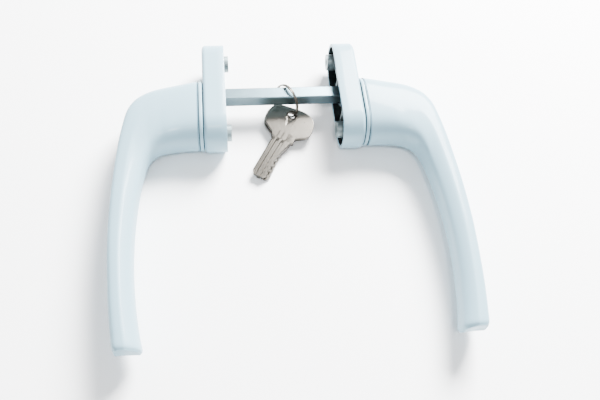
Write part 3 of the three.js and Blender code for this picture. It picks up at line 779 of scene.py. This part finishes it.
class LOCK_OT_rosettes(bpy.types.Operator):
    """Add both rosette covers"""

    bl_idname = "window_lock.rosettes"
    bl_label = "Rosette covers"

    def execute(self, context):
        for side, sign in SIDES.items():
            shell = skin(cover_rings(context.scene.lock_sizes), close_rows=True)
            piece = add_piece(
                f"{side}_rosette_shell", [shell], finish("powder"), "rosettes",
                [f"{side}_rosette_cover"], sign,
            )
            if side == "left":
                drill(piece, [bolt_hole(COVER[1][0] - 3, COVER[1][0] + 1)], sign)
            # paints shade on the cover's joint faces and its hollow
            paint_joint_and_hollow_shade(piece, sign)
        return {"FINISHED"}


class LOCK_OT_collars(bpy.types.Operator):
    """Add the collar between each lever and its rosette"""

    bl_idname = "window_lock.collars"
    bl_label = "Collar rings"

    def execute(self, context):
        for side, sign in SIDES.items():
            shell = skin(collar_rings(), close_rows=True)
            piece = add_piece(
                f"{side}_collar", [shell], finish("powder"), "handles",
                [f"{side}_collar_ring"], sign,
            )
            if side == "left":
                drill(piece, [bolt_hole(COLLAR[0][0] - 1, COLLAR[1][0] + 1)], sign)
            # paints shade on the collar's joint faces
            paint_joint_and_hollow_shade(piece, sign)
        return {"FINISHED"}


class LOCK_OT_spindle(bpy.types.Operator):
    """Add the square spindle"""

    bl_idname = "window_lock.spindle"
    bl_label = "Square spindle"

    def execute(self, context):
        shell = skin(spindle_rings(context.scene.lock_sizes))
        add_piece(
            "drawn_spindle", [shell], finish("zinc"), "handles", ["square_spindle"],
        )
        return {"FINISHED"}


class LOCK_OT_keys(bpy.types.Operator):
    """Add the two keys and their split ring"""

    bl_idname = "window_lock.keys"
    bl_label = "Keys and split ring"

    def execute(self, context):
        sizes = context.scene.lock_sizes
        places = {
            "front": key_matrix(26, 31, 3.2, (-0.7, 0.5)),
            "rear": key_matrix(50, 27, 2.2, (0, 0)),
        }
        for name, matrix in places.items():
            shells = []
            for rings, closed in ((bow_rings(sizes), True), (blade_rings(sizes), False)):
                points, faces = skin(rings, close_rows=closed)
                points = points @ matrix[:3, :3].T + matrix[:3, 3]
                shells.append((points, faces))
            add_piece(
                f"{name}_key_blank", shells, finish("nickel"), f"{name}_key",
                [f"key_{name}"], sharp=30,
            )
        shell = skin(ring_rings(sizes))
        add_piece("wire_ring", [shell], finish("nickel"), "ring", ["split_ring"])
        return {"FINISHED"}


class LOCK_OT_inner_pieces(bpy.types.Operator):
    """Give the pieces that keep their CAD shape their finishes"""

    bl_idname = "window_lock.inner_pieces"
    bl_label = "Inner pieces"

    def execute(self, context):
        finishes = {
            "rosette_base": "casting",
            "bearing_bush": "nylon",
            "click_cam": "spring",
            "click_spring": "spring",
            "retaining_washer": "zinc",
            "grub_screw": "black",
            "lock_housing_pin": "black",
            "lock_housing": "nickel",
            "lock_plug_clip": "spring",
            "lock_plug": "brass",
            "lock_bolt": "zinc",
            "lock_wafer_spring": "spring",
            "lock_wafer": "brass",
        }
        for name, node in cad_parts.items():
            if node.hide_render:
                continue
            found = [kind for word, kind in finishes.items() if word in name]
            if not found:
                raise RuntimeError(f"no finish for {name}")
            node.data.materials.clear()
            node.data.materials.append(finish(found[0]))
        return {"FINISHED"}


class LOCK_OT_stage(bpy.types.Operator):
    """Add the floor, lights and camera"""

    bl_idname = "window_lock.stage"
    bl_label = "Stage"

    def execute(self, context):
        stage = context.scene.lock_stage
        add_floor(context)
        add_light("key_light", (0.42, 0.62, 0.62), 0.45, 110.0)
        add_light("strip_light", (0.0, -0.35, 0.75), 0.12, 3.0)
        world = context.scene.world or bpy.data.worlds.new("studio")
        context.scene.world = world
        world.use_nodes = True
        background = world.node_tree.nodes["Background"]
        background.inputs["Color"].default_value = (0.93, 0.96, 1, 1)
        background.inputs["Strength"].default_value = 1.1
        add_camera(context, stage)
        return {"FINISHED"}


def add_floor(context):
    """A wide flat floor at the foot of the set, in a pale matt finish."""
    half = 3.0
    corners = np.array([[-half, -half, 0], [half, -half, 0], [half, half, 0], [-half, half, 0]])
    mesh = bpy.data.meshes.new("floor")
    mesh.from_pydata((corners + [0, MIDDLE[1], -0.0002]).tolist(), [], [[0, 1, 2, 3]])
    material, tree, shader, place = start_material("matt_white_floor")
    base = linear(context.scene.lock_colours.floor)
    grain = add_node(tree, "ShaderNodeTexNoise", {"Scale": 900, "Detail": 2}, {"Vector": place})
    rough = add_node(
        tree, "ShaderNodeMapRange", {"To Min": 0.75, "To Max": 0.9}, {"Value": grain.outputs[0]}
    )
    shader.inputs["Base Color"].default_value = base
    tree.links.new(rough.outputs[0], shader.inputs["Roughness"])
    mesh.materials.append(material)
    floor = bpy.data.objects.new("floor", mesh)
    context.scene.collection.objects.link(floor)


def add_light(name, place, size, power):
    """A square soft light aimed at the middle of the set."""
    data = bpy.data.lights.new(name, "AREA")
    data.energy = power
    data.size = size
    light = bpy.data.objects.new(name, data)
    light.location = place
    aim = Vector((0, 0, 0)) - light.location
    light.rotation_euler = aim.to_track_quat("-Z", "Y").to_euler()
    bpy.context.scene.collection.objects.link(light)


def add_camera(context, stage):
    """The camera looks down at the set from in front, slightly from the left and rolled."""
    azimuth, elevation, roll = np.radians([stage.azimuth, stage.elevation, stage.roll])
    back = Vector((
        np.sin(azimuth) * np.cos(elevation),
        -np.cos(azimuth) * np.cos(elevation),
        np.sin(elevation),
    ))
    data = bpy.data.cameras.new("camera")
    data.lens = stage.lens
    data.sensor_width = 36
    data.clip_start = 0.01
    camera = bpy.data.objects.new("camera", data)
    aim = Vector(MIDDLE) + Vector((4.33, -66.3, 0)) * MM
    camera.location = aim + back * stage.distance
    facing = (-back).to_track_quat("-Z", "Y")
    camera.rotation_mode = "QUATERNION"
    camera.rotation_quaternion = facing @ Matrix.Rotation(roll, 4, "Z").to_quaternion()
    context.scene.collection.objects.link(camera)
    context.scene.camera = camera


class LOCK_PT_panel(bpy.types.Panel):
    """Sidebar panel that lists the pieces"""

    bl_idname = "LOCK_PT_panel"
    bl_label = "Window Lock"
    bl_space_type = "VIEW_3D"
    bl_region_type = "UI"
    bl_category = "Window Lock"

    def draw(self, context):
        layout = self.layout
        for step in STEPS:
            layout.operator(step.bl_idname)
        for group in (context.scene.lock_sizes, context.scene.lock_colours):
            box = layout.box()
            for name in group.__annotations__:
                box.prop(group, name)


STEPS = (
    LOCK_OT_levers,
    LOCK_OT_rosettes,
    LOCK_OT_collars,
    LOCK_OT_spindle,
    LOCK_OT_keys,
    LOCK_OT_inner_pieces,
    LOCK_OT_stage,
)
GROUPS = (HandleSizes, FinishColours, StageSizes)


def register():
    for kind in (*GROUPS, *STEPS, LOCK_PT_panel):
        bpy.utils.register_class(kind)
    bpy.types.Scene.lock_sizes = PointerProperty(type=HandleSizes)
    bpy.types.Scene.lock_colours = PointerProperty(type=FinishColours)
    bpy.types.Scene.lock_stage = PointerProperty(type=StageSizes)


def unregister():
    for name in ("lock_sizes", "lock_colours", "lock_stage"):
        delattr(bpy.types.Scene, name)
    for kind in reversed((*GROUPS, *STEPS, LOCK_PT_panel)):
        bpy.utils.unregister_class(kind)


def main():
    register()
    bpy.ops.window_lock.levers()
    bpy.ops.window_lock.rosettes()
    bpy.ops.window_lock.collars()
    bpy.ops.window_lock.spindle()
    bpy.ops.window_lock.keys()
    bpy.ops.window_lock.inner_pieces()
    bpy.ops.window_lock.stage()


if __name__ == "__main__":
    main()
